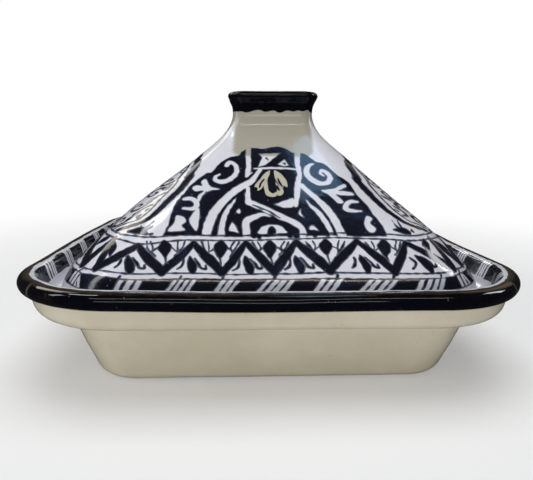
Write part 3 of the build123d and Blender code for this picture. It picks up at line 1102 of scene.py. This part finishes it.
def add_camera(scene):
    """A camera a little above the rim, close to the front and just left of the middle."""
    data = bpy.data.cameras.new("camera")
    data.lens, data.sensor_width, data.clip_start, data.clip_end = 31.58, 36.0, 0.01, 50.0
    camera = bpy.data.objects.new("camera", data)
    camera.location = (-0.0206, -0.3679, 0.1365)
    turn, tilt, roll = (
        Matrix.Rotation(math.radians(angle), 3, axis)
        for angle, axis in ((-3.285, "Z"), (90 - 11.26, "X"), (0.777, "Z"))
    )
    camera.rotation_euler = (turn @ tilt @ roll).to_euler("XYZ")
    scene.collection.objects.link(camera)
    scene.camera = camera


class TAGINE_OT_stage(bpy.types.Operator):
    """Set up the floor, the lights and the camera"""

    bl_idname = "tagine.add_stage"
    bl_label = "Floor, lights and camera"

    def execute(self, context):
        scene, reach = context.scene, 6.0
        mesh = bpy.data.meshes.new("floor")
        corners = [(-reach, -reach, 0), (reach, -reach, 0), (reach, reach, 0), (-reach, reach, 0)]
        mesh.from_pydata(corners, [], [(0, 1, 2, 3)])
        floor = bpy.data.objects.new("floor", mesh)
        scene.collection.objects.link(floor)
        mesh.materials.append(keep("pale_floor", paper, scene.tagine_colours.floor))
        for light in SOFT_LIGHTS:
            add_light(scene, *light).visible_glossy = False
        for light in GLOSS_LIGHTS:
            add_light(scene, *light).visible_diffuse = False
        add_world(scene)
        add_camera(scene)
        scene.view_settings.view_transform = "Standard"
        return {"FINISHED"}


class TAGINE_OT_dish(bpy.types.Operator):
    """Glaze the square baking dish, with its bare foot ring"""

    bl_idname = "tagine.add_dish"
    bl_label = "Glazed dish"

    def execute(self, context):
        sizes, colours = settings()
        wall = dish_wall(sizes)
        # cream glaze of the outer walls, darkened in part as painted shade
        cream = keep(
            "cream_glaze_and_shade", glazed, colours.dish_cream_and_shade, colours.dish_shade, pinholes=0.5, gloss=0.09, ripple=0.8,
            crease=shaded(colours.dish_shade, 0.35),
        )
        bare = keep("bare_clay", clay, colours.clay)
        # a brightened copy of the lid's white glaze: painted light against the shade inside the rim
        white = keep("white_glaze_lit", glazed, colours.dish_inside_lit, colours.lid_white)
        piece = wall_mesh("dish_glazed", wall, [cream, bare, white], "dish")

        def line(run):
            """A thin dark line of painted shade, under an overhang."""
            return np.exp(-((runs - run) / 0.8) ** 2)

        runs, (widths, heights) = wall.run[1:-1], wall.path[1:-1].T
        under_gallery = wall.at(lambda a, z: a > 123 and z > 40.5) + 1.0
        under_bead = wall.at(lambda a, z: a > 144 and z > 56.4)
        # painted shade: thin dark lines under the gallery and under the bead
        attribute(piece, "crease", by_row((line(under_gallery) + 0.8 * line(under_bead))[:, None]))

        ring_edge, underside = 107.5, 130
        ring = (widths < ring_edge) & (widths > ring_edge - sizes.foot_bare / MM - 4)
        bare_rows = (heights < 0.05) & ring & (runs < underside)
        by_face = (bare_rows[:-1] & bare_rows[1:]) + 2 * (runs[:-1] > wall.crest)
        flags = np.zeros(len(piece.data.polygons), np.int32)
        flags[: len(by_face) * AROUND] = np.repeat(by_face, AROUND)
        flags[-AROUND:] = 2
        piece.data.polygons.foreach_set("material_index", flags)
        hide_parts("base_dish")
        return {"FINISHED"}


class TAGINE_OT_rim(bpy.types.Operator):
    """Lay the dark glaze over the dish's rim bead"""

    bl_idname = "tagine.add_rim"
    bl_label = "Dark rim"

    def execute(self, context):
        sizes, colours = settings()
        wall = dish_wall(sizes)
        under = wall.at(lambda a, z: a > 143.4 and z > 56.5)
        ragged = Waves(31, shortest=6, longest=40, count=9)
        inner = wall.crest + RIM_GLAZE_REACH

        def paint(grid_x, grid_y, points):
            along, wander = grid_y[:, None], 0.35 * ragged(points)
            # depth counts slowly from the crest, so that the brown of the glaze breaking and a painted sheen spread
            # wide there, and fast from below
            return np.minimum(4 * (along - under + 0.3 - wander), 0.35 * (inner - along + 0.7 * wander))

        # the crest's brown: glaze breaking, with a painted sheen
        dark = keep(
            "rim_glaze", inked, colours.rim_dark, colours.rim_brown, colours.rim_crest_break_and_sheen, coverage=0.56, edge=1.7,
            gloss=0.05, ripple=1.4,
        )
        span = (under - 2, inner + 1)
        painted("rim_glaze", wall, range(SIDES), span, paint, sizes, dark, "dish", coarse=1.7)
        return {"FINISHED"}


class TAGINE_OT_rim_band(bpy.types.Operator):
    """Paint the striped band inside the dish's rim"""

    bl_idname = "tagine.add_rim_band"
    bl_label = "Striped rim band"

    def execute(self, context):
        sizes, colours = settings()
        wall = dish_wall(sizes)
        start = wall.crest + RIM_GLAZE_REACH + sizes.white_line / MM
        end = start + sizes.rim_band / MM
        wobble, drift = Waves(41, shortest=4, longest=16, count=9), Waves(42, shortest=14, longest=40)
        rng = np.random.default_rng(43)
        groups, bars = 8, (-4.6, -1.5, 1.5, 4.6)
        half = float(wall.half((start + end) / 2))

        def paint(grid_x, grid_y, points):
            c = Canvas(grid_x, grid_y, 0.4 * drift(points), 0.35 * drift(points[..., ::-1]))
            c.shape([(-160, start), (160, start), (160, end), (-160, end)], smooth=False)
            for i in range(groups):
                middle = -half + (i + 0.5) * 2 * half / groups + rng.uniform(-2, 2)
                for bar in bars:
                    x = middle + bar + rng.uniform(-0.4, 0.4)
                    low, high = (x - 0.7, start - 0.6, 1.7), (x + 0.6, end + 0.5, 1.7)
                    c.stroke([low, (x, (start + end) / 2, 2.1), high], ink=False)
            return c.ink + sizes.edge_wobble / MM * wobble(points)

        span = (start - 2, end + 2)
        painted("rim_band", wall, range(SIDES), span, paint, sizes, ink_material(colours), "dish")
        return {"FINISHED"}


class TAGINE_OT_lid(bpy.types.Operator):
    """Glaze the pyramid lid with its neck and hollow handle"""

    bl_idname = "tagine.add_lid"
    bl_label = "Glazed lid"

    def execute(self, context):
        sizes, colours = settings()
        # the lid's white glaze, with painted shade and dark reflection on the flats of the neck
        white = keep(
            "white_lid_glaze", glazed, colours.lid_white, colours.lid_shade, crease=colours.neck_painted_shade, patchy=False
        )
        wall = lid_wall(sizes)
        piece = wall_mesh("lid_glazed", wall, [white], "lid")
        # the flats of the neck get a straw tone of painted shade and dark reflection
        height = (wall.run[1:-1] - wall.start)[:, None]
        share = np.abs(np.tile(np.linspace(-1, 1, COLUMNS + 1)[:-1], SIDES))
        across = share * wall.half(wall.run[1:-1])[:, None] + np.maximum(118 - height, 0) ** 2 / 8
        low, high = NECK
        flats = 1 - ramp(across, NECK_HALF_WIDTH - 1, NECK_HALF_WIDTH + 1)
        attribute(piece, "crease", by_row(flats * ramp(height, low, low + 2) * (height < high)))
        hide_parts("lid")
        return {"FINISHED"}


class TAGINE_OT_lid_painting(bpy.types.Operator):
    """Paint the borders and medallion on each face of the lid"""

    bl_idname = "tagine.add_lid_painting"
    bl_label = "Lid painting"

    def execute(self, context):
        sizes, colours = settings()
        wall = lid_wall(sizes)
        ink, edge_wobble = ink_material(colours), sizes.edge_wobble / MM
        # the palmette's straw tone is a painted reflection
        straw = keep(
            "palmette_reflection_tint", inked, colours.palmette, shaded(colours.palmette, 1.25), colours.ink_bleed, edge=0.5,
            gloss=0.08,
        )
        for side, side_name in enumerate(SIDE_NAMES):
            drift = Waves(50 + side, shortest=16, longest=45, parts=2)
            wobble = Waves(60, shortest=3, longest=12, count=9)

            def canvas(grid_x, grid_y, points, move=0.0):
                height = grid_y - wall.start
                return Canvas(grid_x, height + settle(height), 0.3 * drift(points, 0) + move, 0.22 * drift(points, 1))

            def ink_field(grid_x, grid_y, points):
                rng = np.random.default_rng(70 + side)
                c, own = canvas(grid_x, grid_y, points), canvas(grid_x, grid_y, points)
                paint_hatched_band(c, rng)
                paint_zigzag(c, rng)
                paint_guard_lines(c)
                if side in FLANKS:
                    paint_flank_medallion(own)
                else:
                    paint_sprigs(c)
                    paint_medallion(own)
                    # the edges of the neighbours' medallions come round the corners
                    for hand in (-1, 1):
                        near = hand * grid_x > NEAR_CORNER
                        move = -hand * 2 * wall.half(grid_y)[:, None]
                        beside = canvas(grid_x[near], grid_y, points[:, near], move)
                        beside.everywhere = True
                        paint_flank_medallion(beside, FLANK_HALF_SEEN)
                        c.ink[:, near] = np.maximum(c.ink[:, near], beside.ink)
                return np.maximum(c.ink, own.ink) + INK_SPREAD + edge_wobble * wobble(points)

            def straw_field(grid_x, grid_y, points):
                own = canvas(grid_x, grid_y, points)
                paint_palmette(own)
                return own.ink + 0.7 * edge_wobble * wobble(points)

            span = (wall.start + 8, wall.start + 125)
            painted(f"painting_{side_name}", wall, [side], span, ink_field, sizes, ink, "lid")
            span = (wall.start + 74, wall.start + 100.5)
            painted(
                f"palmette_{side_name}", wall, [side], span, straw_field, sizes, straw, "lid",
                coarse=0.8, layers=2,
            )
        return {"FINISHED"}


class TAGINE_OT_handle_glaze(bpy.types.Operator):
    """Dip the handle's rim in dark glaze, inside and out"""

    bl_idname = "tagine.add_handle_glaze"
    bl_label = "Dark handle"

    def execute(self, context):
        sizes, colours = settings()
        wall = lid_wall(sizes)
        top = lid_high.z / MM
        low = wall.at(lambda a, z: z > top - sizes.handle_glaze_drop / MM and a > 24)
        high = wall.at(lambda a, z: z > top - 7, first=False)
        ragged = Waves(81, shortest=5, longest=22, count=9)

        def paint(grid_x, grid_y, points):
            along, wander = grid_y[:, None], 0.55 * ragged(points)
            return np.minimum(along - low - wander, high - along + wander)

        dark = keep(
            "handle_dark", inked, colours.rim_dark, colours.rim_brown, colours.rim_brown, coverage=0.56, edge=0.25,
            gloss=0.05, ripple=1.4,
        )
        span = (low - 3, high + 3)
        painted("handle_glaze", wall, range(SIDES), span, paint, sizes, dark, "lid", coarse=1.2)
        return {"FINISHED"}


class TAGINE_PT_panel(bpy.types.Panel):
    """Lists the pieces of the pot and the sizes and colours that they take"""

    bl_label = "Tagine pot"
    bl_idname = "TAGINE_PT_panel"
    bl_space_type = "VIEW_3D"
    bl_region_type = "UI"
    bl_category = "Tagine"

    def draw(self, context):
        for piece in OPERATORS:
            self.layout.operator(piece.bl_idname)
        for group in settings():
            box = self.layout.box()
            for name in group.__annotations__:
                box.prop(group, name)


OPERATORS = (
    TAGINE_OT_stage, TAGINE_OT_dish, TAGINE_OT_rim, TAGINE_OT_rim_band, TAGINE_OT_lid, TAGINE_OT_lid_painting,
    TAGINE_OT_handle_glaze,
)
CLASSES = (TaginePotSizes, TaginePotColours, *OPERATORS, TAGINE_PT_panel)


def register():
    for cls in CLASSES:
        bpy.utils.register_class(cls)
    bpy.types.Scene.tagine_sizes = bpy.props.PointerProperty(type=TaginePotSizes)
    bpy.types.Scene.tagine_colours = bpy.props.PointerProperty(type=TaginePotColours)


def unregister():
    del bpy.types.Scene.tagine_sizes, bpy.types.Scene.tagine_colours
    for cls in reversed(CLASSES):
        bpy.utils.unregister_class(cls)


def main():
    register()
    bpy.ops.tagine.add_stage()
    bpy.ops.tagine.add_dish()
    bpy.ops.tagine.add_rim()
    bpy.ops.tagine.add_rim_band()
    bpy.ops.tagine.add_lid()
    bpy.ops.tagine.add_lid_painting()
    bpy.ops.tagine.add_handle_glaze()
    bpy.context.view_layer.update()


if __name__ == "__main__":
    main()
